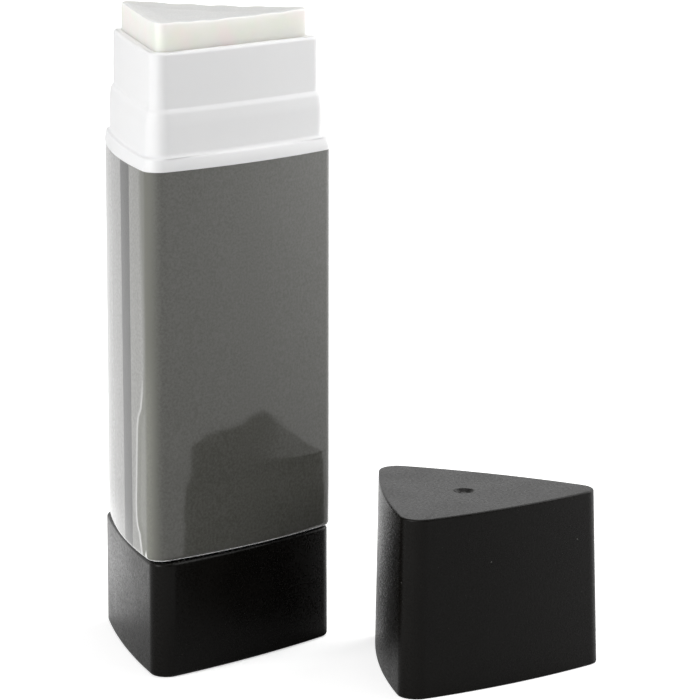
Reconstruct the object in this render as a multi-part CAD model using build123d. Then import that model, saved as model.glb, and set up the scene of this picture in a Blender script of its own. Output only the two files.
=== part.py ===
from build123d import *
import math
import os
from collections import namedtuple

# A three-sided twist-up glue stick, standing on its knob, with its cap stood beside it.
# Millimetres and degrees. The origin is on the stick's axis where the knob meets the table,
# +Z is up, and the barrel's front side faces -Y, so one of its corners points along +Y.

# A cross-section is a triangle with round corners and bulged sides: how far the middle of a
# side and the tip of a corner lie from the axis, and the radius of the corner.
Section = namedtuple("Section", "side_reach corner_reach corner_radius")

# Body, the section that the hand holds
body_side_reach = 9.63
body_corner_reach = 15.58
body_corner_radius = 1.86

# Printed film round the barrel
film_thickness = 0.1
film_sink = 0.03
film_height = 44.86

# Barrel
barrel_foot_margin = 0.15
shoulder_band = 1.48
shoulder_thickness = 1.5
shoulder_round = 0.55
barrel_wall = 1.15
neck_wall = 1.27
neck_corner_radius = 1.46
neck_step = 0.47
neck_step_height = 0.74
lower_neck_height = 4.68
upper_neck_height = 6.32
neck_root_flare = 0.25
neck_rim_round = 0.4

# Tube inside the barrel, whose bore is the chamber that the glue slides in
tube_fit = 0.08
tube_side_wall = 1.29
tube_corner_wall = 1.32
tube_top_gap = 0.1
chamber_corner_radius = 1.0

# Plate that closes the barrel's foot and carries the turning parts
plate_thickness = 2.0
plate_recess = 0.3
plate_fit = 0.05
plate_bead = 0.2
plate_bead_height = 0.6
bead_play = 0.05

# Knob
knob_height = 13.53
knob_gap = 0.15
knob_side_inset = 0.38
knob_corner_inset = 0.17
knob_corner_radius = 1.99
knob_turned = 1.66
knob_wall = 1.4
knob_floor = 1.6
knob_top_round = 0.45
knob_foot_round = 0.5
hub_radius = 4.8
knob_rib_thickness = 1.1
knob_rib_drop = 1.5
socket_rise = 3.98

# Spindle
screw_radius = 2.4
screw_top = 68.4
screw_tip_chamfer = 0.6
journal_radius = 3.2
running_clearance = 0.06
end_play = 0.1
collar_radius = 5.0
collar_thickness = 1.0
root_across = 4.2
root_fit = 0.05
root_end_gap = 0.3
waist_depth = 0.25
waist_height = 1.2
waist_drop = 3.0
waist_play = 0.1

# Carrier that the spindle lifts
carrier_height = 5.8
carrier_floor = 1.5
carrier_wall = 1.0
carrier_play = 0.35
wiper_play = 0.1
wiper_height = 0.7
nut_radius = 4.2
nut_clearance = 0.07
carrier_rib_thickness = 0.9
carrier_ground_gap = 0.4
fin_gap = 0.6
fin_length = 5.0
fin_height = 3.0
fin_thickness = 0.9

# Glue
glue_play = 0.08
glue_rest_drop = 1.0
glue_stand_out = 3.35
glue_lip = 0.35
glue_dish_depth = 0.9
glue_dish_slope = 1.6
glue_bore_play = 0.3
glue_bore_headroom = 0.4

# Cap
cap_height = 20.73
cap_proud = 0.12
cap_corner_radius = 2.25
cap_side_draft = 0.35
cap_corner_draft = 0.6
cap_crown_round = 0.55
cap_crown_thickness = 1.4
cap_fit = 0.06
gate_radius = 1.25
gate_depth = 0.35
gate_pip_radius = 0.4
gate_pip_height = 0.15
cap_across = 16.23
cap_forward = 27.65
cap_turned = -7.9

# Every section has a corner each third of a turn from +Y
corner_count = 3
first_corner = 90
corner_step = 360 / corner_count
half_side = math.pi / corner_count

# The sharpest corner that a moulding has
sharpest_corner = 0.3

# Each rounded edge is made of this many even bands
round_bands = 3

# How far a cut runs past the face that it opens
overrun = 1.0

# Heights up the stick
barrel_foot = knob_height + knob_gap
film_foot = barrel_foot + barrel_foot_margin
film_top = film_foot + film_height
shoulder_top = film_top + shoulder_band
ledge = shoulder_top - shoulder_thickness
step_foot = shoulder_top + lower_neck_height
step_top = step_foot + neck_step_height
neck_rim = step_top + upper_neck_height
plate_foot = barrel_foot + plate_recess
plate_top = plate_foot + plate_thickness
bead_foot = plate_foot + (plate_thickness - plate_bead_height) / 2
bead_top = bead_foot + plate_bead_height
hub_top = plate_foot - end_play
socket_foot = knob_floor + socket_rise
root_foot = socket_foot + root_end_gap
waist_top = hub_top - waist_drop
waist_foot = waist_top - waist_height
collar_foot = plate_top + end_play
collar_top = collar_foot + collar_thickness
raised = glue_stand_out + glue_rest_drop
carrier_foot = collar_top + carrier_ground_gap + raised
carrier_top = carrier_foot + carrier_height
carrier_ceiling = carrier_top - carrier_floor
glue_top = neck_rim + glue_stand_out
glue_bore_top = screw_top + glue_bore_headroom + raised


def inset(section, depth):
    """The section whose outline lies this deep inside, or outside where depth is below zero."""
    radius = max(section.corner_radius - depth, sharpest_corner)
    centre = section.corner_reach - section.corner_radius
    centre -= (radius + depth - section.corner_radius) / math.cos(half_side)
    return Section(section.side_reach - depth, centre + radius, radius)


# Cross-sections, each worked out from the one that it fits
body = Section(body_side_reach, body_corner_reach, body_corner_radius)
film_outside = inset(body, film_sink)
film_inside = inset(film_outside, film_thickness)
barrel_inside = inset(film_inside, barrel_wall)
tube_outside = inset(barrel_inside, tube_fit)
chamber = Section(
    tube_outside.side_reach - tube_side_wall,
    tube_outside.corner_reach - tube_corner_wall,
    chamber_corner_radius,
)
upper_neck = Section(
    chamber.side_reach + neck_wall, chamber.corner_reach + neck_wall, neck_corner_radius
)
lower_neck = inset(upper_neck, -neck_step)
plate_outside = inset(barrel_inside, plate_fit)
knob_outside = Section(
    body_side_reach - knob_side_inset, body_corner_reach - knob_corner_inset, knob_corner_radius
)
carrier_outside = inset(chamber, carrier_play)
wiper_outside = inset(chamber, wiper_play)
glue_outside = inset(chamber, glue_play)
cap_mouth = Section(body_side_reach + cap_proud, body_corner_reach + cap_proud, cap_corner_radius)
cap_crown = Section(
    cap_mouth.side_reach - cap_side_draft,
    cap_mouth.corner_reach - cap_corner_draft,
    cap_corner_radius,
)


def direction(angle):
    """The unit vector at this angle round the axis, counted from +X."""
    return Vector(math.cos(math.radians(angle)), math.sin(math.radians(angle)))


def outline(section, height):
    """A section's face at this height. Its side arcs run tangent into its corner arcs."""
    reach = section.corner_reach - section.corner_radius
    shortfall = reach * math.cos(half_side) - section.side_reach
    half_length = reach * math.sin(half_side)
    side_radius = (section.corner_radius**2 - shortfall**2 - half_length**2) / (
        2 * (shortfall + section.corner_radius)
    )
    side_middle = direction(first_corner + corner_step / 2) * section.side_reach
    side_centre = direction(first_corner + corner_step / 2) * (section.side_reach - side_radius)
    corner_centre = direction(first_corner) * reach
    leave = side_centre + (corner_centre - side_centre).normalized() * abs(side_radius)
    arrive = Vector(-leave.X, leave.Y)
    next_arrive = arrive.rotate(Axis.Z, corner_step)
    corner = ThreePointArc(arrive, direction(first_corner) * section.corner_reach, leave)
    side = ThreePointArc(leave, side_middle, next_arrive)
    edges = [
        Rot(0, 0, turn * corner_step) * edge
        for turn in range(corner_count)
        for edge in (corner, side)
    ]
    return Pos(0, 0, height) * make_face(edges)


def prism(section, low, high):
    """A straight block of one section between two heights."""
    return extrude(outline(section, low), high - low)


def skin(*levels):
    """A block that runs evenly from each level, a section and its height, to the next."""
    return loft([outline(section, height) for section, height in levels], ruled=True)


def round_over(section, top, radius):
    """The levels, upwards, that round a block's top edge over."""
    turns = [math.pi / 2 * band / round_bands for band in range(round_bands + 1)]
    return [
        (inset(section, radius * (1 - math.cos(turn))), top - radius * (1 - math.sin(turn)))
        for turn in turns
    ]


def round_under(section, foot, radius):
    """The levels, upwards, that round a block's foot edge over."""
    levels = round_over(section, foot, radius)
    return [(drawn_in, 2 * foot - height) for drawn_in, height in reversed(levels)]


def rod(radius, low, high):
    """A round bar on the axis between two heights."""
    return extrude(Pos(0, 0, low) * Circle(radius), high - low)


def square_bar(across, low, high):
    """A square bar on the axis between two heights."""
    return extrude(Pos(0, 0, low) * Rectangle(across, across), high - low)


def corner_ribs(start, end, thickness, low, high):
    """Three upright ribs that run out from the axis towards the corners."""
    foot = Pos(0, (start + end) / 2, low) * Rectangle(thickness, end - start)
    rib = extrude(foot, high - low)
    return Compound([Rot(0, 0, turn * corner_step) * rib for turn in range(corner_count)])


def barrel():
    """Outer wall, shoulder and the stepped neck that the cap closes on."""
    shell = skin((body, barrel_foot), *round_over(body, shoulder_top, shoulder_round))
    shell -= prism(body, film_foot, film_top) - prism(film_inside, film_foot, film_top)
    root = inset(lower_neck, -neck_root_flare)
    neck = skin(
        (root, film_top),
        (root, shoulder_top),
        (lower_neck, shoulder_top + neck_root_flare),
        (lower_neck, step_foot),
        (upper_neck, step_top),
        *round_over(upper_neck, neck_rim, neck_rim_round),
    )
    hollow = prism(barrel_inside, barrel_foot - overrun, ledge)
    groove = inset(plate_outside, -plate_bead - bead_play)
    hollow += prism(groove, bead_foot - bead_play, bead_top + bead_play)
    hollow += prism(chamber, ledge - overrun, neck_rim + overrun)
    return shell + neck - hollow


def film():
    """Printed film, wrapped round the barrel in its shallow panel."""
    return prism(film_outside, film_foot, film_top) - prism(
        film_inside, film_foot - overrun, film_top + overrun
    )


def inner_tube():
    """Tube that carries the neck's bore on down to the foot, with the barrel round it."""
    wall = prism(tube_outside, plate_top, ledge - tube_top_gap)
    return wall - prism(chamber, plate_top - overrun, ledge + overrun)


def bearing_plate():
    """Plate that snaps into the barrel's foot. Its round hole is the spindle's bearing."""
    plate = prism(plate_outside, plate_foot, plate_top)
    plate += prism(inset(plate_outside, -plate_bead), bead_foot, bead_top)
    bearing = journal_radius + running_clearance
    return plate - rod(bearing, plate_foot - overrun, plate_top + overrun)


def knob():
    """Hollow three-cornered knob with a ribbed hub, whose square socket holds the spindle."""
    shell = skin(
        *round_under(knob_outside, 0, knob_foot_round),
        *round_over(knob_outside, knob_height, knob_top_round),
    )
    inside = inset(knob_outside, knob_wall)
    shell -= prism(inside, knob_floor, knob_height + overrun)
    shell += rod(hub_radius, knob_floor / 2, hub_top)
    rib_end = knob_outside.corner_reach - knob_wall / 2
    rib_top = knob_height - knob_rib_drop
    shell += corner_ribs(0, rib_end, knob_rib_thickness, knob_floor / 2, rib_top)
    across = root_across + 2 * root_fit
    socket = square_bar(across, socket_foot, hub_top + overrun)
    snap_low, snap_high = waist_foot + waist_play, waist_top - waist_play
    snap = square_bar(across, snap_low, snap_high)
    snap -= square_bar(across - 2 * waist_depth, snap_low, snap_high)
    return Rot(0, 0, knob_turned) * (shell - (socket - snap))


def spindle():
    """Lifting screw: square root, round journal, collar over the plate, and the screw."""
    root = square_bar(root_across, root_foot, hub_top)
    waist = square_bar(root_across, waist_foot, waist_top)
    waist -= square_bar(root_across - 2 * waist_depth, waist_foot, waist_top)
    screw = rod(screw_radius, collar_top, screw_top)
    screw = chamfer(screw.edges().group_by(Axis.Z)[-1], screw_tip_chamfer)
    turned = rod(journal_radius, hub_top, collar_foot)
    turned += rod(collar_radius, collar_foot, collar_top)
    return Rot(0, 0, knob_turned) * (root - waist + turned + screw)


def anchor_fins():
    """The carrier's three upright fins, which the glue is cast round."""
    start = screw_radius + glue_bore_play + fin_gap
    return corner_ribs(
        start, start + fin_length, fin_thickness, carrier_top, carrier_top + fin_height
    )


def carrier():
    """Cup turned upside down, with two wipers, a nut on three ribs, and fins in the glue."""
    inside = inset(carrier_outside, carrier_wall)
    cup = prism(carrier_outside, carrier_foot, carrier_top)
    for low in (carrier_foot, carrier_top - wiper_height):
        cup += prism(wiper_outside, low, low + wiper_height)
    cup -= prism(inside, carrier_foot - overrun, carrier_ceiling)
    cup += rod(nut_radius, carrier_foot, carrier_top)
    rib_end = carrier_outside.corner_reach - carrier_wall / 2
    cup += corner_ribs(0, rib_end, carrier_rib_thickness, carrier_foot + wiper_height, carrier_top)
    cup += anchor_fins()
    bore = screw_radius + nut_clearance
    return cup - rod(bore, carrier_foot - overrun, carrier_top + overrun)


def glue():
    """Glue column with a dished top, cast round the fins, with a blind bore for the screw."""
    column = prism(glue_outside, carrier_top, glue_top)
    dish_edge = inset(glue_outside, glue_lip)
    dish_floor = inset(dish_edge, glue_dish_slope)
    column -= skin((dish_floor, glue_top - glue_dish_depth), (dish_edge, glue_top))
    column -= rod(screw_radius + glue_bore_play, carrier_top - overrun, glue_bore_top)
    return column - anchor_fins()


def cap():
    """Cap with a stepped bore that follows the neck, and a gate mark on its crown."""
    shell = skin((cap_mouth, 0), *round_over(cap_crown, cap_height, cap_crown_round))
    grip, seal = inset(lower_neck, -cap_fit), inset(upper_neck, -cap_fit)
    shell -= skin(
        (grip, -overrun),
        (grip, lower_neck_height),
        (seal, lower_neck_height + neck_step_height),
        (seal, cap_height - cap_crown_thickness),
    )
    gate_floor = cap_height - gate_depth
    shell -= rod(gate_radius, gate_floor, cap_height + overrun)
    shell += rod(gate_pip_radius, gate_floor, gate_floor + gate_pip_height)
    return Pos(cap_across, -cap_forward, 0) * Rot(0, 0, cap_turned) * shell


parts = {
    "barrel": barrel,
    "label_film": film,
    "inner_tube": inner_tube,
    "bearing_plate": bearing_plate,
    "knob": knob,
    "spindle": spindle,
    "glue_carrier": carrier,
    "glue_column": glue,
    "cap": cap,
}

os.makedirs("parts", exist_ok=True)
for name, make in parts.items():
    export_step(make(), f"parts/{name}.step")
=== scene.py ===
import math
from collections import namedtuple

import bpy
from mathutils import Matrix, Vector, noise


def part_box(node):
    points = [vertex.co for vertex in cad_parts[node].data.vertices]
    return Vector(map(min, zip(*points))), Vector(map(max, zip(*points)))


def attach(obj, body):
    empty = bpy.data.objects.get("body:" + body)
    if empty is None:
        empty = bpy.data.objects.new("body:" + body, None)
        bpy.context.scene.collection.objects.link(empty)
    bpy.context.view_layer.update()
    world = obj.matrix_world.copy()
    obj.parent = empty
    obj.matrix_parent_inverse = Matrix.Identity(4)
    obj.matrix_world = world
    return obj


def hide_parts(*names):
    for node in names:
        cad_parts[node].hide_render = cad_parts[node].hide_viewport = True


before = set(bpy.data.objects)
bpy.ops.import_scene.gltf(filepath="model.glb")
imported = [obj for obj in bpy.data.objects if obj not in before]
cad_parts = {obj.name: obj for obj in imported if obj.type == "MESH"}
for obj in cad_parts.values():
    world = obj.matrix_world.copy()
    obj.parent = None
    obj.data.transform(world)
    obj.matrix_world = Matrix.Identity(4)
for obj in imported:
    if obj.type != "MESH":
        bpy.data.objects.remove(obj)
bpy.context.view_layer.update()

# The looks of a three-sided twist-up glue stick and of its cap, which stands beside it. Lengths
# are in metres unless a comment says otherwise, in the part's frame: the origin is on the stick's
# axis where its knob meets the table, +Z is up, and the label's front side faces -Y.
MM = 0.001

# A cross-section is a triangle with round corners and bulged sides: how far the middle of a side
# and the tip of a corner lie from the axis, and the radius of the corner.
Section = namedtuple("Section", "side corner radius")
body_radius = 1.86 * MM
knob_radius = 1.99 * MM
cap_radius = 2.25 * MM
neck_radius = 1.46 * MM
chamber_radius = 1.0 * MM
sharpest_radius = 0.3 * MM

# Barrel and film
film_sink = 0.03 * MM
film_thickness = 0.1 * MM
barrel_wall = 1.15 * MM
barrel_foot_round = 0.55 * MM
film_starts = math.radians(48)
shoulder_round = 0.25 * MM
band_lean = 0.25 * MM
band_bend_share = 0.45
band_round = 3.5 * MM
shoulder_thickness = 1.5 * MM
neck_wall = 1.27 * MM
neck_step = 0.47 * MM
neck_step_height = 0.74 * MM
neck_step_blend = 0.3 * MM
neck_slope_height = 0.45 * MM
neck_slope_rounds = (0.8 * MM, 0.25 * MM)
neck_lean = 0.15 * MM
neck_lean_drop = 1.0 * MM
neck_lean_round = 6.0 * MM
lower_neck_height = 4.68 * MM
upper_neck_height = 6.32 * MM
neck_root_fillet = 0.42 * MM
neck_draft = 0.08 * MM
neck_rim_round = 0.4 * MM
neck_bore_round = 0.05 * MM
groove_depth = 0.2 * MM
groove_height = 0.7 * MM

# The print, in millimetres up the barrel and round it, from the tip of its front left corner. The
# stripe's edges are each given at the foot and at the top. The other pairs are from where to where
# something changes, and those with rise in their names are shares of the film's height. Past the
# fold, the film stands a little prouder.
stripe_left = (-10.37, -11.21)
stripe_right = (-6.77, -7.08)
stripe_edge = (-0.06, 0.06)
stripe_paler = (0, 3)
panel_start = (-27.76, -27.64)
panel_soft_rise = (0.38, 0.6)
panel_softness = (0.1, 0.9)
olive_end = (-1.0, 0.9)
olive_rise = (0.35, 0.6)
torn_place = -1.73
torn_up = (13.8, 15.2)
torn_taper = 0.5
torn_edge = (0.3, 0.45)
fold_start = (3.5, 6.6)
fold_up = (21.9, 23.1)

# The film's lap, in the same units: between which places it wanders, and its course, as how far
# up it is and how far between those places. Then its step, which fades to a part of its depth
# higher up, as the swell round it does, and a painted highlight: a pale line beside its cut edge.
lap_places = (-5.0, -1.5)
lap_course = (
    (0.0, 0.69),
    (0.053, 0.457),
    (0.115, 0.086),
    (0.215, 0.157),
    (0.3, 0.23),
    (0.35, 0.34),
    (0.4, 0.71),
    (0.5, 0.886),
    (0.65, 0.83),
    (0.8, 0.66),
    (1.0, 0.57),
)
step_edge = (-0.25, 0.1)
step_rise = (0.38, 0.6)
step_left = 0.2
swell_start = (-1.2, 0)
swell_end = (0.1, 1.4)
swell_rise = (0.35, 0.6)
swell_left = 0.3
# The lap's painted highlight: a pale line beside its cut edge, low on the film
lap_highlight_place = -0.45
lap_highlight_edge = (0.1, 0.45)
lap_highlight_rise = (0.4, 0.48)
lap_highlight_strength = 0.9

# Knob
knob_turned = math.radians(1.66)
knob_side_inset = 0.38 * MM
knob_corner_inset = 0.17 * MM
knob_height = 13.53 * MM
knob_wall = 1.4 * MM
knob_floor = 1.6 * MM
knob_top_round = 0.45 * MM
knob_foot_round = 0.5 * MM
knob_lip_round = 0.12 * MM
hub_radius = 4.8 * MM
socket_across = 4.3 * MM
socket_rise = 3.98 * MM
rib_thickness = 1.1 * MM
rib_drop = 1.5 * MM

# Spindle
screw_radius = 2.4 * MM
screw_core = 1.9 * MM
screw_lead = 4.0 * MM
screw_tip_round = 0.5 * MM
journal_radius = 3.2 * MM
collar_radius = 5.0 * MM
collar_thickness = 1.0 * MM
collar_play = 0.1 * MM
root_across = 4.2 * MM
waist_depth = 0.25 * MM
waist_height = 1.2 * MM
waist_drop = 3.0 * MM
thread_crest = 1.1 * MM
thread_foot = 1.9 * MM
thread_sink = 0.2 * MM
thread_tip_share = 0.05
nut_bore = 2.47 * MM
nut_thread_reach = 0.35 * MM
nut_thread_crest = 1.2 * MM
nut_thread_foot = 2.0 * MM
nut_fins = 3.0 * MM

# Glue
glue_play = 0.08 * MM
glue_swell = 0.02 * MM
glue_edge_round = 0.3 * MM
glue_tip_flare = 0.05 * MM
glue_edge_dip = 0.2 * MM
glue_tip_sharpness = 8
glue_tip_height = 1.4 * MM
glue_dish_depth = 0.5 * MM
glue_dish_slope = 2.6 * MM
glue_dish_shares = (0.15, 0.3, 0.45, 0.6, 0.75, 0.9)
glue_wear = 0.16 * MM
glue_wear_size = 2.6 * MM
glue_bore = 2.7 * MM
glue_bore_headroom = 0.4 * MM
glue_raised = 4.35 * MM

# Cap
cap_height = 20.73 * MM
cap_proud = 0.12 * MM
cap_side_draft = 0.35 * MM
cap_corner_draft = 0.6 * MM
cap_crown_round = 0.24 * MM
cap_mouth_round = 0.2 * MM
cap_bore_round = 0.15 * MM
cap_crown_thickness = 1.4 * MM
cap_crown_shares = (0.3, 0.6, 0.85)
cap_fit = 0.06 * MM
cap_across = 16.23 * MM
cap_forward = 27.65 * MM
cap_turned = math.radians(-7.9)
gate_radius = 1.25 * MM
gate_depth = 0.35 * MM
gate_floor_share = 0.6
gate_edge_round = 0.12 * MM
gate_pip_radius = 0.4 * MM
gate_pip_height = 0.15 * MM

# How finely outlines, rounds, rods and a turn of a thread are cut, and from which angle on an
# edge stays sharp
side_steps = 26
corner_steps = 22
round_steps = 6
rod_steps = 64
thread_steps = 40
sharp_angle = math.radians(35)


def inset(section, depth):
    """The section whose outline lies this deep inside, or outside where depth is below zero."""
    radius = max(section.radius - depth, sharpest_radius)
    centre = section.corner - section.radius - 2 * (radius + depth - section.radius)
    return Section(section.side - depth, centre + radius, radius)


# Heights and sections, from the boxes of the part's solids
barrel_low, barrel_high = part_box("barrel")
film_low, film_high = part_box("label_film")
plate_low, plate_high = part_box("bearing_plate")
spindle_low, spindle_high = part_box("spindle")
carrier_low, carrier_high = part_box("glue_carrier")
glue_low, glue_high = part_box("glue_column")
knob_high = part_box("knob")[1]

neck_rim = barrel_high.z
step_top = neck_rim - upper_neck_height
step_foot = step_top - neck_step_height
shoulder_top = step_foot - lower_neck_height
ledge = shoulder_top - shoulder_thickness
film_depth = film_sink + film_thickness
body = Section(-barrel_low.y, barrel_high.y, body_radius)
film_outside = inset(body, film_sink)
barrel_inside = inset(body, film_depth + barrel_wall)
glue_outside = Section(-glue_low.y, glue_high.y, chamber_radius - glue_play)
chamber = inset(glue_outside, -glue_play)
upper_neck = Section(chamber.side + neck_wall, chamber.corner + neck_wall, neck_radius)
lower_neck = inset(upper_neck, -neck_step)
knob_outside = Section(body.side - knob_side_inset, body.corner - knob_corner_inset, knob_radius)
collar_foot = plate_high.z + collar_play
collar_top = collar_foot + collar_thickness
screw_foot = collar_top + thread_foot


def outline(section):
    """The points, outward normals and distances round a section, anticlockwise. The distances
    start below zero in the middle of the side that faces 30 degrees, and are zero at the tip of
    the corner on the left of the front side."""
    reach = section.corner - section.radius
    shortfall = reach / 2 - section.side
    half_length = reach * math.sin(math.pi / 3)
    side_radius = (section.radius**2 - shortfall**2 - half_length**2) / (
        2 * (shortfall + section.radius)
    )
    swing = math.asin(half_length / (side_radius - section.radius))
    third = 2 * math.pi / 3
    half_side = side_radius * swing
    corner_length = section.radius * (third - 2 * swing)
    spacing = 2 * half_side + corner_length
    found = []
    for side in range(3):
        facing = math.pi / 6 + side * third
        along = (side - 1.5) * spacing
        arcs = (
            (facing, section.side - side_radius, side_radius, 0, swing, side_steps, along),
            (
                facing + third / 2,
                reach,
                section.radius,
                swing,
                third - swing,
                corner_steps,
                along + half_side,
            ),
            (
                facing + third,
                section.side - side_radius,
                side_radius,
                third - swing,
                third,
                side_steps,
                along + half_side + corner_length,
            ),
        )
        for heading, offset, radius, start, end, steps, distance in arcs:
            centre = Vector((math.cos(heading), math.sin(heading))) * offset
            for step in range(steps):
                turn = (end - start) * step / steps
                normal = Vector((math.cos(facing + start + turn), math.sin(facing + start + turn)))
                found.append((centre + normal * radius, normal, distance + radius * turn))
    return found


def section_ring(section, height):
    """A section's outline as points at this height."""
    return [Vector((*point, height)) for point, _, _ in outline(section)]


# The directions in which the points of an outline and of a rod lie
headings = [math.atan2(point.y, point.x) for point, _, _ in outline(body)]
rod_headings = [2 * math.pi * step / rod_steps for step in range(rod_steps)]


def disc_ring(radius, height, angles=headings):
    """A circle of points at this height, which lie in the same directions as an outline's."""
    return [Vector((radius * math.cos(a), radius * math.sin(a), height)) for a in angles]


def rounded(corners):
    """A profile's points. Each corner is its two places and a radius: an arc takes the place of
    a corner with a radius, and a corner whose radius is None only guides its neighbours."""
    found = []
    for index, (depth, height, radius) in enumerate(corners):
        here = Vector((depth, height))
        if radius == 0:
            found.append(here)
        if not radius:
            continue
        back = (Vector(corners[index - 1][:2]) - here).normalized()
        on = (Vector(corners[(index + 1) % len(corners)][:2]) - here).normalized()
        half = back.angle(on) / 2
        centre = here + (back + on).normalized() * radius / math.sin(half)
        start = here + back * radius / math.tan(half) - centre
        end = here + on * radius / math.tan(half) - centre
        sweep = math.pi - 2 * half
        for step in range(round_steps + 1):
            share = sweep * step / round_steps
            arm = (start * math.sin(sweep - share) + end * math.sin(share)) / math.sin(sweep)
            found.append(centre + arm)
    return found


def profile(base, corners):
    """The rings of a profile whose corners are depths inside a section, heights and radii. The
    base is that section, or a function that gives it for a height."""
    section_at = base if callable(base) else lambda height: base
    return [section_ring(inset(section_at(at.y), at.x), at.y) for at in rounded(corners)]


def turned(corners, angles=headings):
    """The rings of a profile turned round the axis, whose corners are radii, heights, rounds."""
    return [disc_ring(at.x, at.y, angles) for at in rounded(corners)]


def skin(rings, loop=False):
    """The points and faces of a surface through rings, each listed anticlockwise, that run up
    its outside. It is closed by its own first ring, or else by a point at each end."""
    count = len(rings[0])
    points = [point for ring in rings for point in ring]
    faces = []
    pairs = len(rings) if loop else len(rings) - 1
    for row in range(pairs):
        low, high = row * count, (row + 1) % len(rings) * count
        for here in range(count):
            there = (here + 1) % count
            faces.append((low + here, low + there, high + there, high + here))
    if not loop:
        last = (len(rings) - 1) * count
        points.append(sum(rings[0], Vector()) / count)
        points.append(sum(rings[-1], Vector()) / count)
        for here in range(count):
            there = (here + 1) % count
            faces.append((len(points) - 2, there, here))
            faces.append((len(points) - 1, last + here, last + there))
    return points, faces


def joined(*surfaces):
    """Several surfaces as the points and faces of one."""
    points, faces = [], []
    for more_points, more_faces in surfaces:
        faces += [tuple(index + len(points) for index in face) for face in more_faces]
        points += more_points
    return points, faces


def placed(surface, matrix):
    """A surface moved by a matrix."""
    points, faces = surface
    return [matrix @ point for point in points], faces


def piece(name, surface, body_name, slot_name, material, *nodes):
    """A smooth-shaded object that rides on a body and stands for the CAD nodes it replaces."""
    mesh = bpy.data.meshes.new(name)
    points, faces = surface
    mesh.from_pydata(points, [], faces)
    mesh.validate()
    mesh.shade_smooth()
    mesh.set_sharp_from_angle(angle=sharp_angle)
    made = bpy.data.objects.new(name, mesh)
    bpy.context.scene.collection.objects.link(made)
    mesh.materials.append(material)
    weighted = made.modifiers.new("even shading", "WEIGHTED_NORMAL")
    weighted.keep_sharp = True
    if nodes:
        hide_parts(*nodes)
    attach(made, body_name)
    return made


def block(across, along, low, high):
    """An upright box whose foot spans across in X and along in Y, each a (low, high) pair."""
    x, y = across, along
    foot = [Vector((x[0], y[0], low)), Vector((x[1], y[0], low))]
    foot += [Vector((x[1], y[1], low)), Vector((x[0], y[1], low))]
    top = [Vector((point.x, point.y, high)) for point in foot]
    faces = [(3, 2, 1, 0), (4, 5, 6, 7)]
    faces += [(side, (side + 1) % 4, (side + 1) % 4 + 4, side + 4) for side in range(4)]
    return foot + top, faces


class Recipe:
    """A material or a surround under construction: its nodes, and short ways to join them."""

    def __init__(self, owner, shader="Principled BSDF"):
        self.owner = owner
        owner.use_nodes = True
        self.nodes, self.links = owner.node_tree.nodes, owner.node_tree.links
        self.shader = self.nodes[shader]

    def add(self, kind, settings=(), **sockets):
        """A new node, with its settings and the values or links of its input sockets."""
        node = self.nodes.new("ShaderNode" + kind)
        for key, value in dict(settings).items():
            setattr(node, key, value)
        for key, value in sockets.items():
            self.join(node, key.replace("_", " "), value)
        return node

    def join(self, node, socket, value):
        """Sets an input socket, or links it where the value is another node's output."""
        wanted = node.inputs[int(socket[2:])] if socket.startswith("in") else node.inputs[socket]
        if isinstance(value, bpy.types.NodeSocket):
            self.links.new(value, wanted)
        else:
            wanted.default_value = value

    def place(self):
        """The object's own coordinates, in metres."""
        return self.add("TexCoord").outputs["Object"]

    def speckle(self, at, size, detail=2.0, roughness=0.5):
        """Noise from 0 to 1 whose blots are about this many metres across."""
        made = self.add("TexNoise", Vector=at, Scale=1 / size, Detail=detail, Roughness=roughness)
        return made.outputs["Fac"]

    def ramp(self, value, low, high, start=0.0, end=1.0, smooth=True):
        """A value stretched from one range to another and held there at both ends."""
        kind = "SMOOTHSTEP" if smooth else "LINEAR"
        settings = {"interpolation_type": kind, "clamp": True}
        made = self.add("MapRange", settings, in0=value, in1=low, in2=high, in3=start, in4=end)
        return made.outputs["Result"]

    def math(self, operation, first, second=0.0):
        """One sum on two values."""
        return self.add("Math", {"operation": operation}, in0=first, in1=second).outputs[0]

    def times(self, first, *others):
        """The product of several values."""
        for other in others:
            first = self.math("MULTIPLY", first, other)
        return first

    def between(self, value, start, end):
        """One between a start and an end, each a range over which it fades, and zero outside."""
        return self.times(self.ramp(value, *start), self.ramp(value, *end, 1, 0))

    def toward(self, at, direction):
        """How far a place lies in a direction."""
        made = self.add("VectorMath", {"operation": "DOT_PRODUCT"}, in0=at, in1=direction)
        return made.outputs["Value"]

    def mirrored(self, rays):
        """One for the rays that a surface reflects or lets through, and zero for others."""
        outputs = rays.outputs
        return self.math("MAXIMUM", outputs["Is Glossy Ray"], outputs["Is Transmission Ray"])

    def blend(self, share, first, second):
        """A colour between two others."""
        made = self.add("Mix", {"data_type": "RGBA"})
        self.join(made, "in0", share)
        self.join(made, "in6", first)
        self.join(made, "in7", second)
        return made.outputs[2]

    def bump(self, height, depth, normal=None):
        """Surface relief of this depth in metres, on top of another relief where one is given."""
        made = self.add("Bump", Strength=1.0, Distance=depth, Height=height)
        if normal:
            self.join(made, "Normal", normal)
        return made.outputs["Normal"]

    def finish(self, **sockets):
        """Sets or links the shader's sockets and returns what is made."""
        for key, value in sockets.items():
            self.join(self.shader, key.replace("_", " "), value)
        return self.owner


# Materials: their colours, in pairs where a cloud or a height blends two, the sizes of their
# clouds and grain, the depths of their reliefs, and the two roughnesses between which a noise
# varies. The noise span is where nearly all values of a noise lie.
noise_span = (0.3, 0.7)

white_tones = ((0.86, 0.86, 0.865, 1), (0.88, 0.88, 0.88, 1))
white_cloud_size = 6 * MM
white_peel_size = 0.9 * MM
white_peel_depth = 0.006 * MM
white_roughness = (0.42, 0.5)

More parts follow.
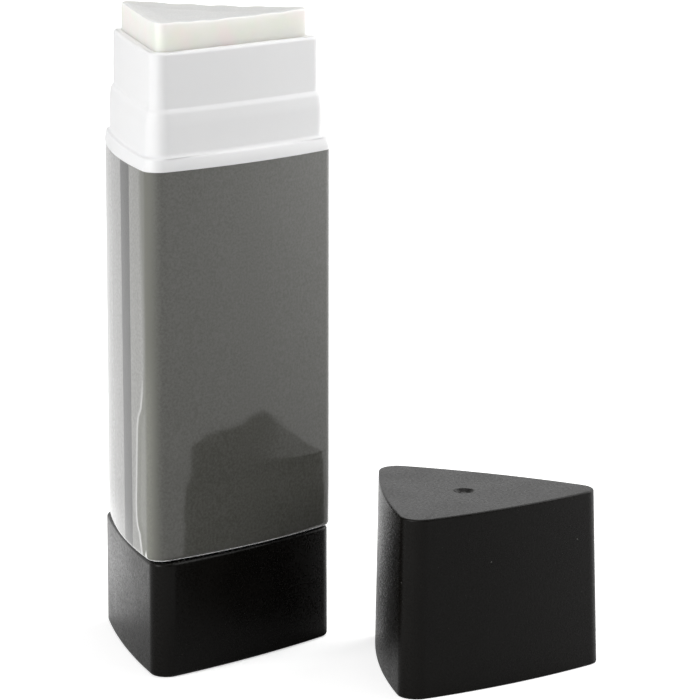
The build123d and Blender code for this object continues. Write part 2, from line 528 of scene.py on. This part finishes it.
black_tones = ((0.0034, 0.003, 0.0025, 1), (0.0062, 0.0056, 0.0048, 1))
black_cloud_size = 5 * MM
black_grain_size = 0.3 * MM
black_grain_depth = 0.03 * MM
black_roughness = (0.3, 0.34)
fleck_span = (0.35, 0.75)
fleck_roughness = (-0.07, 0.07)
dust_tone = (0.1, 0.1, 0.095, 1)
dust_spacing = 3.2 * MM
dust_edge = (0.022, 0.034)

natural_tones = ((0.74, 0.74, 0.7, 1), (0.82, 0.82, 0.79, 1))
natural_cloud_size = 3 * MM
natural_peel_size = 0.5 * MM
natural_peel_depth = 0.008 * MM
natural_roughness = (0.36, 0.48)

glue_tints = ((0.86, 0.895, 0.8, 1), (0.93, 0.85, 0.825, 1))
glue_side_tone = (0.9, 0.89, 0.84, 1)
glue_top_tone = (0.6, 0.6, 0.59, 1)
glue_top_slope = (0.6, 0.9)
glue_tint_size = 4 * MM
glue_tint_span = (0.37, 0.63)
glue_blot_size = 3.5 * MM
glue_grain_size = 0.25 * MM
glue_grain_depth = 0.01 * MM
glue_roughness = (0.3, 0.5)

print_tones = ((0.071, 0.07, 0.06, 1), (0.086, 0.085, 0.075, 1))
olive_tones = ((0.202, 0.206, 0.174, 1), (0.152, 0.154, 0.129, 1))
panel_tones = ((0.27, 0.27, 0.253, 1), (0.3, 0.3, 0.283, 1))
paler_tone = (0.34, 0.34, 0.33, 1)
stripe_tone = (0.01, 0.01, 0.01, 1)
paper_tone = (0.14, 0.14, 0.13, 1)
paper_share = 0.5
lap_highlight_tone = (0.46, 0.46, 0.44, 1)
torn_tone = (0.9, 0.9, 0.88, 1)
print_cloud_size = 7 * MM
paper_grain_size = 0.3 * MM
paper_grain_depth = 0.0015 * MM
film_wave_size = 4.5 * MM
film_wave_depth = 0.03 * MM
film_roughness = (0.45, 0.6)
fold_depth = 0.05 * MM
swell_depth = 0.06 * MM
step_depth = 0.04 * MM


def white_plastic():
    """Satin white polypropylene with a faint orange peel."""
    made = Recipe(bpy.data.materials.new("white_plastic"))
    at = made.place()
    cloud = made.speckle(at, white_cloud_size)
    peel = made.speckle(at, white_peel_size, detail=3)
    return made.finish(
        Base_Color=made.blend(cloud, *white_tones),
        Roughness=made.ramp(peel, *noise_span, *white_roughness),
        Specular_IOR_Level=0.35,
        Normal=made.bump(peel, white_peel_depth),
        Subsurface_Weight=0.12,
        Subsurface_Radius=(1.0, 0.95, 0.9),
        Subsurface_Scale=0.8 * MM,
    )


def black_plastic():
    """Black moulded plastic with a fine grain, a soft sheen and a few specks of dust."""
    made = Recipe(bpy.data.materials.new("black_plastic"))
    at = made.place()
    grain = made.speckle(at, black_grain_size, detail=3, roughness=0.6)
    cloud = made.speckle(at, black_cloud_size, detail=3)
    dust = made.add("TexVoronoi", {"feature": "F1"}, Vector=at, Scale=1 / dust_spacing)
    speck = made.ramp(dust.outputs["Distance"], *dust_edge, 1, 0)
    base = made.blend(cloud, *black_tones)
    fleck = made.ramp(grain, *fleck_span, *fleck_roughness)
    return made.finish(
        Base_Color=made.blend(speck, base, dust_tone),
        Roughness=made.math("ADD", made.ramp(cloud, *noise_span, *black_roughness), fleck),
        Specular_IOR_Level=0.105,
        Normal=made.bump(grain, black_grain_depth),
    )


def natural_plastic():
    """Uncoloured polypropylene, milky and a little cloudy."""
    made = Recipe(bpy.data.materials.new("natural_plastic"))
    at = made.place()
    cloud = made.speckle(at, natural_cloud_size, detail=3)
    peel = made.speckle(at, natural_peel_size)
    return made.finish(
        Base_Color=made.blend(cloud, *natural_tones),
        Roughness=made.ramp(peel, *noise_span, *natural_roughness),
        Normal=made.bump(peel, natural_peel_depth),
        Subsurface_Weight=0.25,
        Subsurface_Radius=(1.0, 1.0, 0.95),
        Subsurface_Scale=1.2 * MM,
    )


def glue_wax():
    """Translucent off-white glue, waxy and faintly mottled in pink and green. Where its surface
    faces up it is a little greyer."""
    made = Recipe(bpy.data.materials.new("glue"))
    at = made.place()
    blots = made.speckle(at, glue_blot_size, detail=3)
    tint = made.speckle(at, glue_tint_size)
    fine = made.speckle(at, glue_grain_size, detail=3)
    tinted = made.blend(made.ramp(tint, *glue_tint_span), *glue_tints)
    sides = made.blend(made.ramp(blots, *noise_span), tinted, glue_side_tone)
    up = made.add("SeparateXYZ", Vector=made.add("NewGeometry").outputs["Normal"]).outputs["Z"]
    return made.finish(
        Base_Color=made.blend(made.ramp(up, *glue_top_slope), sides, glue_top_tone),
        Roughness=made.ramp(fine, *noise_span, *glue_roughness),
        Normal=made.bump(fine, glue_grain_depth),
        Subsurface_Weight=1.0,
        Subsurface_Radius=(1.0, 0.97, 0.9),
        Subsurface_Scale=2.0 * MM,
    )


def printed_film():
    """Glossy clear film over a warm dark grey print. A side panel is lighter, with a stripe, and
    ends where the film laps over itself by the front corner. The lap is a little wavy, and an
    olive strip shows beside it."""
    made = Recipe(bpy.data.materials.new("printed_film"))
    wrap = made.add("UVMap", {"uv_map": "wrap"}).outputs["UV"]
    split = made.add("SeparateXYZ", Vector=wrap)
    across, height = split.outputs["X"], split.outputs["Y"]
    at = made.place()
    rise = made.ramp(height, film_low.z / MM, film_high.z / MM, smooth=False)
    bend = made.add("FloatCurve", Value=rise)
    curve = bend.mapping.curves[0]
    for share in lap_course[1:-1]:
        curve.points.new(*share)
    for point, share in zip(curve.points, lap_course):
        point.location = share
    bend.mapping.update()
    edge = made.ramp(bend.outputs["Value"], 0, 1, *lap_places, smooth=False)
    past_edge = made.math("SUBTRACT", across, edge)

    softness = made.ramp(rise, *panel_soft_rise, *panel_softness)
    this_side = made.ramp(across, *panel_start)
    panel = made.ramp(made.math("DIVIDE", past_edge, softness), -1, 1, 1, 0)
    panel = made.times(panel, this_side)
    left = made.ramp(rise, 0, 1, *stripe_left, smooth=False)
    past_left = made.math("SUBTRACT", across, left)
    right = made.ramp(rise, 0, 1, *stripe_right, smooth=False)
    past_right = made.math("SUBTRACT", across, right)
    before_right = made.ramp(past_right, *stripe_edge, 1, 0)
    stripe = made.times(made.ramp(past_left, *stripe_edge), before_right)

    cloud = made.speckle(at, print_cloud_size)
    paper = made.speckle(at, paper_grain_size, detail=3, roughness=0.7)
    dark = made.blend(cloud, *print_tones)
    strip = made.times(made.ramp(across, *olive_end, 1, 0), this_side)
    olive = made.blend(made.ramp(rise, *olive_rise), *olive_tones)
    front = made.blend(strip, dark, olive)
    light = made.blend(cloud, *panel_tones)
    light = made.blend(made.ramp(past_left, *stripe_paler, 1, 0), light, paler_tone)
    side = made.blend(stripe, light, stripe_tone)
    colour = made.blend(panel, front, side)
    paper_shows = made.ramp(paper, *noise_span, 0, paper_share)
    colour = made.blend(paper_shows, colour, paper_tone)
    # A painted highlight: a pale line beside the lap's cut edge, low on the film
    lap_highlight = made.math("ABSOLUTE", made.math("SUBTRACT", past_edge, lap_highlight_place))
    lap_highlight = made.times(made.ramp(lap_highlight, *lap_highlight_edge, 1, 0), made.ramp(rise, *lap_highlight_rise, lap_highlight_strength, 0))
    colour = made.blend(lap_highlight, colour, lap_highlight_tone)
    torn = made.math("ABSOLUTE", made.math("SUBTRACT", across, torn_place))
    torn = made.math("ADD", torn, made.ramp(height, *torn_up, 0, torn_taper, smooth=False))
    colour = made.blend(made.ramp(torn, *torn_edge, 1, 0), colour, torn_tone)

    step = made.ramp(past_edge, *step_edge, 1, 0)
    step = made.times(step, made.ramp(rise, *step_rise, 1, step_left))
    swell = made.between(past_edge, swell_start, swell_end)
    swell = made.times(swell, made.ramp(rise, *swell_rise, 1, swell_left))
    fold = made.times(made.ramp(across, *fold_start), made.ramp(height, *fold_up))
    waves = made.speckle(at, film_wave_size, detail=1)
    relief = made.bump(paper, paper_grain_depth)
    relief = made.bump(waves, film_wave_depth, relief)
    relief = made.bump(fold, fold_depth, relief)
    relief = made.bump(swell, swell_depth, relief)
    relief = made.bump(step, step_depth, relief)
    return made.finish(
        Base_Color=colour,
        Roughness=made.ramp(paper, *noise_span, *film_roughness),
        Normal=relief,
        Coat_Weight=0.9,
        Coat_Roughness=0.08,
        Coat_IOR=1.5,
        Coat_Normal=relief,
        Specular_IOR_Level=0.0,
    )


white = white_plastic()
black = black_plastic()
natural = natural_plastic()
wax = glue_wax()
film = printed_film()


def foot_arc(sunk, start, end):
    """Depths and heights round the barrel's foot, this deep under its skin, from one angle to
    another. The angles are zero at its underside and a right angle where its wall is upright."""
    radius = barrel_foot_round - sunk
    angles = [start + (end - start) * step / round_steps for step in range(round_steps + 1)]
    across, up = barrel_foot_round, barrel_low.z + barrel_foot_round
    return [(across - radius * math.sin(a), up - radius * math.cos(a), 0) for a in angles]


def make_barrel():
    """Outer wall with the film's panel, shoulder, stepped neck, bore and the plate's groove."""
    groove_foot = (plate_low.z + plate_high.z - groove_height) / 2
    groove_top = groove_foot + groove_height
    band_bend = film_high.z + (shoulder_top - film_high.z) * band_bend_share
    rings = profile(body, [
        (film_depth + barrel_wall, barrel_low.z, 0),
        *foot_arc(0, 0, film_starts),
        *foot_arc(film_depth, film_starts, math.pi / 2),
        (film_depth, film_high.z, 0),
        (0, film_high.z, 0),
        (0, band_bend, band_round),
        (band_lean, shoulder_top, shoulder_round),
        (body.side, shoulder_top, None),
    ])
    rings += profile(lower_neck, [
        (-body.side, shoulder_top, None),
        (0, shoulder_top, neck_root_fillet),
        (0, step_foot - neck_lean_drop, neck_lean_round),
        (neck_lean, step_top - neck_slope_height, neck_slope_rounds[0]),
        (neck_step, step_top, neck_slope_rounds[1]),
        (neck_step + neck_draft, neck_rim, neck_rim_round),
        (body.side, neck_rim, None),
    ])
    rings += profile(chamber, [
        (-neck_wall / 2, neck_rim, 0),
        (0, neck_rim, neck_bore_round),
        (0, ledge, 0),
    ])
    rings += profile(barrel_inside, [
        (0, ledge, 0),
        (0, groove_top, 0),
        (-groove_depth, groove_top, 0),
        (-groove_depth, groove_foot, 0),
        (0, groove_foot, 0),
    ])
    piece("barrel_shell", skin(rings, loop=True), "stick", "white_plastic", white, "barrel")


def make_film():
    """Printed film in its panel. Its UV map is in millimetres round the barrel and up it."""
    outer = foot_arc(film_sink, film_starts, math.pi / 2) + [(film_sink, film_high.z, 0)]
    inner = [(film_depth, film_high.z, 0)] + foot_arc(film_depth, math.pi / 2, film_starts)
    rings = profile(body, outer + inner)
    surface = skin(rings, loop=True)
    made = piece("printed_label", surface, "stick", "printed_film", film, "label_film")
    distances = [distance / MM for _, _, distance in outline(film_outside)]
    count = len(distances)
    distances.append(-distances[0])
    wrap = made.data.uv_layers.new(name="wrap")
    for face in made.data.polygons:
        columns = [vertex % count for vertex in face.vertices]
        wrapped = max(columns) - min(columns) > 1
        for loop, vertex, column in zip(face.loop_indices, face.vertices, columns):
            column = count if wrapped and column == 0 else column
            height = made.data.vertices[vertex].co.z / MM
            wrap.data[loop].uv = (distances[column], height)


def make_knob():
    """Hollow knob, open at its top, with a hub that has a square socket, and three ribs."""
    spin = Matrix.Rotation(knob_turned, 4, "Z")
    middle = knob_outside.side / 2
    rings = profile(knob_outside, [
        (middle, 0, 0),
        (0, 0, knob_foot_round),
        (0, knob_height, knob_top_round),
        (knob_wall, knob_height, knob_lip_round),
        (knob_wall, knob_floor, 0),
        (middle, knob_floor, 0),
    ])
    piece("knob_shell", placed(skin(rings), spin), "drive", "black_plastic", black, "knob")
    half = socket_across / 2
    circle = [Vector((math.cos(a), math.sin(a), 0)) for a in rod_headings]
    square = [point * half / max(abs(point.x), abs(point.y)) for point in circle]
    hub_top = knob_high.z
    hub = turned([
        (hub_radius, knob_floor / 2, 0),
        (hub_radius, hub_top, knob_lip_round),
        (0, hub_top, None),
    ], rod_headings)
    for height in (hub_top, knob_floor + socket_rise):
        hub.append([point + Vector((0, 0, height)) for point in square])
    rib = block(
        (-rib_thickness / 2, rib_thickness / 2),
        (hub_radius - knob_wall, knob_outside.corner - knob_wall / 2),
        knob_floor / 2,
        knob_height - rib_drop,
    )
    turns = [Matrix.Rotation(2 * math.pi * third / 3, 4, "Z") for third in range(3)]
    parts = [skin(hub)] + [placed(rib, turn) for turn in turns]
    piece("knob_hub", placed(joined(*parts), spin), "drive", "black_plastic", black, "knob")


def make_cap():
    """Cap with draft, a rounded crown with a gate mark, and a bore that follows the neck."""

    def drafted(height):
        share = height / cap_height
        return Section(
            body.side + cap_proud - cap_side_draft * share,
            body.corner + cap_proud - cap_corner_draft * share,
            cap_radius,
        )

    grip = inset(lower_neck, -cap_fit)
    ceiling = cap_height - cap_crown_thickness
    rings = profile(grip, [
        (neck_step + grip.side / 2, ceiling, 0),
        (neck_step, ceiling, 0),
        (neck_step, lower_neck_height + neck_step_height, neck_step_blend),
        (0, lower_neck_height, neck_step_blend),
        (0, 0, cap_bore_round),
        (-cap_side_draft, 0, None),
    ])
    rings += profile(drafted, [
        (cap_side_draft, 0, None),
        (0, 0, cap_mouth_round),
        (0, cap_height, cap_crown_round),
        (body.side, cap_height, None),
    ])
    edge = rings[-1]
    rim = disc_ring(gate_radius + gate_edge_round, cap_height)
    for share in cap_crown_shares:
        rings.append([outer.lerp(inner, share) for outer, inner in zip(edge, rim)])
    gate_floor = cap_height - gate_depth
    rings += turned([
        (gate_radius + gate_edge_round * 2, cap_height, 0),
        (gate_radius, cap_height, gate_edge_round),
        (gate_radius * gate_floor_share, gate_floor, gate_depth),
        (gate_pip_radius, gate_floor, gate_edge_round),
        (gate_pip_radius, gate_floor + gate_pip_height, gate_edge_round / 2),
        (gate_pip_radius / 3, gate_floor + gate_pip_height, 0),
    ])
    stand = Matrix.Translation((cap_across, -cap_forward, 0)) @ Matrix.Rotation(cap_turned, 4, "Z")
    piece("cap_shell", placed(skin(rings), stand), "loose_cap", "black_plastic", black, "cap")


def drawn_up(point):
    """A point of the glue's rubbed end, which is a little uneven. Its edge dips between the
    corners, whose tips flare."""
    flat = Vector((point.x, point.y, 0))
    toward_corner = (1 + math.cos(3 * math.atan2(point.y, point.x) - math.pi * 1.5)) / 2
    reach = min(1, flat.length / glue_outside.side)
    tip = toward_corner**glue_tip_sharpness * reach**2
    rise = min(1, max(0, 1 + (point.z - glue_high.z) / glue_tip_height)) ** 2
    wear = noise.noise(flat / glue_wear_size) * glue_wear
    lift = Vector((0, 0, wear - glue_edge_dip * (1 - tip)))
    return point + (flat.normalized() * glue_tip_flare * tip + lift) * rise


def make_glue():
    """Glue column: straight sides, an edge drawn up at the corners, and a dished top."""
    bore_top = spindle_high.z + glue_bore_headroom + glue_raised
    dish = glue_high.z - glue_dish_depth
    rings = turned([
        (glue_bore / 4, bore_top, 0),
        (glue_bore, bore_top, 0),
        (glue_bore, glue_low.z, 0),
    ])
    rings += profile(inset(glue_outside, -glue_swell), [
        (0, glue_low.z, 0),
        (0, glue_high.z - glue_tip_height, 0),
        (0, glue_high.z, glue_edge_round),
        (glue_dish_slope, dish, glue_dish_slope),
        (glue_outside.side / 2, dish, 0),
    ])
    middle = Vector((0, 0, dish))
    rings += [[point.lerp(middle, share) for point in rings[-1]] for share in glue_dish_shares]
    rings = [[drawn_up(point) for point in ring] for ring in rings]
    piece("glue_block", skin(rings), "lift", "glue", wax, "glue_column")


def thread(rim, flank, crest, foot, low, high, phase=0.0):
    """A left-handed helical ridge from the radius rim to the radius crest. It is foot high where
    it leaves the rim and flank high at its crest, and tapers off over half a turn at each end."""
    turns = (high - low) / screw_lead
    steps = round(turns * thread_steps)
    sink = thread_sink if crest < rim else -thread_sink
    rings = []
    for step in range(steps + 1):
        share = min(step, steps - step) / (thread_steps / 2)
        fade = min(1, max(thread_tip_share, share))
        angle = -2 * math.pi * turns * step / steps
        middle = low + (high - low) * step / steps
        reach = rim + (crest - rim) * fade
        shape = (
            (rim + sink, -foot / 2),
            (rim, -foot / 2),
            (reach, -flank / 2),
            (reach, flank / 2),
            (rim, foot / 2),
            (rim + sink, foot / 2),
        )
        out = Vector((math.cos(angle + phase), math.sin(angle + phase), 0))
        rings.append([out * radius + Vector((0, 0, middle + lift)) for radius, lift in shape])
    if crest > rim:
        rings = [ring[::-1] for ring in rings]
    return skin(rings)


def make_nut():
    """The carrier's nut has a ridge too, half a turn of the screw away from the spindle's."""
    low = carrier_low.z + nut_thread_foot / 2
    high = carrier_high.z - nut_fins - nut_thread_foot / 2
    phase = knob_turned + math.pi - 2 * math.pi * (low - screw_foot) / screw_lead
    ridge = thread(
        nut_bore, nut_thread_crest, nut_bore - nut_thread_reach, nut_thread_foot, low, high, phase
    )
    piece("nut_thread", ridge, "lift", "natural_plastic", natural)


def make_spindle():
    """Lifting screw: square root with its snap waist, journal, collar and left-hand thread."""
    spin = Matrix.Rotation(knob_turned, 4, "Z")
    hub_top = knob_high.z
    round_part = turned([
        (journal_radius / 2, hub_top, 0),
        (journal_radius, hub_top, 0),
        (journal_radius, collar_foot, 0),
        (collar_radius, collar_foot, 0),
        (collar_radius, collar_top, knob_lip_round),
        (screw_core, collar_top, 0),
        (screw_core, spindle_high.z, screw_tip_round),
        (0, spindle_high.z, None),
    ], rod_headings)
    half, waist = root_across / 2, root_across / 2 - waist_depth
    waist_top = hub_top - waist_drop
    waist_foot = waist_top - waist_height
    spans = (
        (half, spindle_low.z, waist_foot),
        (waist, waist_foot, waist_top),
        (half, waist_top, hub_top + thread_sink),
    )
    bars = [block((-out, out), (-out, out), low, high) for out, low, high in spans]
    ridge = thread(
        screw_core, thread_crest, screw_radius, thread_foot,
        screw_foot, spindle_high.z - thread_foot,
    )
    surface = placed(joined(skin(round_part), *bars, ridge), spin)
    piece("lifting_screw", surface, "drive", "natural_plastic", natural, "spindle")


make_barrel()
make_film()
make_knob()
make_cap()
make_glue()
make_spindle()
make_nut()

# These pieces show their own solids, in the same plastic as the spindle
for name in ("inner_tube", "bearing_plate", "glue_carrier"):
    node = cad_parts[name]
    node.data.materials.clear()
    node.data.materials.append(natural)

# Camera, at the photograph's place. Its view is along +Y, turned clockwise, pitched down and
# rolled by these angles in radians. Its lens and sensor are in millimetres.
camera_place = Vector((-296.53, -338.58, 128.24)) * MM
view_turn = math.radians(43.46)
view_pitch = 0.203524
view_roll = 0.001746
view_lens = 202.354
sensor_width = 36
near_clip = 10 * MM
far_clip = 20

# Table. A glow is a share of white, and a place is a distance from the stick's axis, all round it
# or in a direction. Seen straight, the table is lit up to white. In reflections it is dim ahead of
# the stick and brighter behind it, brightest near it, with a painted shadow: a dark lane that runs
# past the stick in its colour and glow. A bright patch glows beside the lane.
table_reach = 6.0
table_tone = (0.8, 0.8, 0.8, 1)
seen_away = (80 * MM, 500 * MM)
seen_glow = (0.56, 0.84)
ahead_away = (50 * MM, 400 * MM)
ahead_glow = (0.1, 0.7)
behind_direction = (-0.2, 0.98, 0)
behind_start = (10 * MM, 45 * MM)
behind_glow = 0.34
beside_direction = (0.883, -0.469, 0)
along_direction = (0.469, 0.883, 0)
near_away = (50 * MM, 85 * MM)
near_glow = (0.65, 0)
near_side = (-34 * MM, -10 * MM)
# The painted shadow's lane: its sides and ends, its colour, and the share of glow left in it
shadow_lane_sides = ((-6 * MM, 0), (14 * MM, 21 * MM))
shadow_lane_ends = ((-20 * MM, 0), (55 * MM, 70 * MM))
shadow_lane_tone = (0.08, 0.08, 0.08, 1)
shadow_lane_glow = 0.1
patch_sides = ((22 * MM, 30 * MM), (60 * MM, 80 * MM))
patch_ends = ((10 * MM, 30 * MM), (45 * MM, 70 * MM))
patch_glow = 1.3

# Surround, whose light falls to a share toward one direction in reflections, and lamps, each with
# its place, the point that it faces, its width and its watts
surround_light = 0.225
dim_direction = (0.656, -0.755, 0)
dim_facing = (0, 0.65)
dim_share = 0.03
lamps = {
    "left": ((-0.55, 0.02, 0.28), (0, 0, 0.04), 0.35, 2.4),
    "right": ((0.406, -0.13, 0.28), (0, 0, 0.04), 0.5, 2.6),
    "top": ((0, 0, 0.8), (0, 0, 0), 0.5, 1.25),
}


def make_camera():
    """A camera that looks down on the part a little, with the photograph's long lens."""
    data = bpy.data.cameras.new("camera")
    data.lens = view_lens
    data.sensor_width = sensor_width
    data.clip_start = near_clip
    data.clip_end = far_clip
    forward = Vector((math.sin(view_turn), math.cos(view_turn), 0)) * math.cos(view_pitch)
    forward.z = -math.sin(view_pitch)
    right = Vector((math.cos(view_turn), -math.sin(view_turn), 0))
    up = right.cross(forward)
    across = right * math.cos(view_roll) + up * math.sin(view_roll)
    above = up * math.cos(view_roll) - right * math.sin(view_roll)
    made = bpy.data.objects.new("camera", data)
    bpy.context.scene.collection.objects.link(made)
    turn = Matrix((across, above, -forward)).transposed()
    made.matrix_world = Matrix.Translation(camera_place) @ turn.to_4x4()
    bpy.context.scene.camera = made


def make_table():
    """A wide pale table top. It is bright enough to read as white, and keeps a soft shadow."""
    mesh = bpy.data.meshes.new("table")
    reach = table_reach
    corners = [(-reach, -reach, 0), (reach, -reach, 0), (reach, reach, 0), (-reach, reach, 0)]
    mesh.from_pydata(corners, [], [(0, 1, 2, 3)])
    table = bpy.data.objects.new("table", mesh)
    bpy.context.scene.collection.objects.link(table)
    made = Recipe(bpy.data.materials.new("table"))
    rays = made.add("LightPath")
    mirrored = made.mirrored(rays)
    at = made.place()
    away = made.add("VectorMath", {"operation": "LENGTH"}, in0=at).outputs["Value"]
    behind = made.ramp(made.toward(at, behind_direction), *behind_start)
    beside = made.toward(at, beside_direction)
    along = made.toward(at, along_direction)
    # The lane is a painted shadow of the stick, seen only in reflections
    shadow_lane = made.times(made.between(beside, *shadow_lane_sides), made.between(along, *shadow_lane_ends))
    patch = made.times(made.between(beside, *patch_sides), made.between(along, *patch_ends))

    ahead = made.ramp(away, *ahead_away, *ahead_glow, smooth=False)
    ahead = made.times(ahead, made.math("SUBTRACT", 1, behind))
    near = made.times(made.ramp(away, *near_away, *near_glow), made.ramp(beside, *near_side))
    behind = made.times(behind, made.math("ADD", near, behind_glow))
    glow = made.math("ADD", ahead, behind)
    glow = made.times(glow, made.ramp(shadow_lane, 0, 1, 1, shadow_lane_glow, smooth=False))
    glow = made.math("ADD", glow, made.times(patch, patch_glow))
    seen = made.times(rays.outputs["Is Camera Ray"], made.ramp(away, *seen_away, *seen_glow))
    # In reflections the lane darkens the table's colour, a painted shadow
    mesh.materials.append(made.finish(
        Base_Color=made.blend(made.times(mirrored, shadow_lane), table_tone, shadow_lane_tone),
        Roughness=0.9,
        Specular_IOR_Level=0.0,
        Emission_Color=(1, 1, 1, 1),
        Emission_Strength=made.math("ADD", seen, made.times(mirrored, glow)),
    ))


def make_light(name, place, aim, width, watts):
    """A soft box that faces a point."""
    data = bpy.data.lights.new(name, "AREA")
    data.shape = "RECTANGLE"
    data.size = width
    data.size_y = width
    data.energy = watts
    lamp = bpy.data.objects.new(name, data)
    bpy.context.scene.collection.objects.link(lamp)
    place, aim = Vector(place), Vector(aim)
    lamp.location = place
    lamp.rotation_mode = "QUATERNION"
    lamp.rotation_quaternion = (aim - place).to_track_quat("-Z", "Y")


def make_world():
    """A plain even surround, white where it is seen. Its front right is dimmer in reflections."""
    world = bpy.data.worlds.new("surround")
    bpy.context.scene.world = world
    made = Recipe(world, "Background")
    rays = made.add("LightPath")
    facing = made.toward(made.add("TexCoord").outputs["Generated"], dim_direction)
    mirrored = made.times(made.mirrored(rays), made.ramp(facing, *dim_facing, 1, dim_share))
    seen = made.math("MAXIMUM", rays.outputs["Is Camera Ray"], mirrored)
    made.finish(Color=(1, 1, 1, 1), Strength=made.math("MAXIMUM", seen, surround_light))


make_camera()
make_table()
make_world()
for name, settings in lamps.items():
    make_light(name, *settings)
bpy.context.scene.view_settings.view_transform = "Standard"
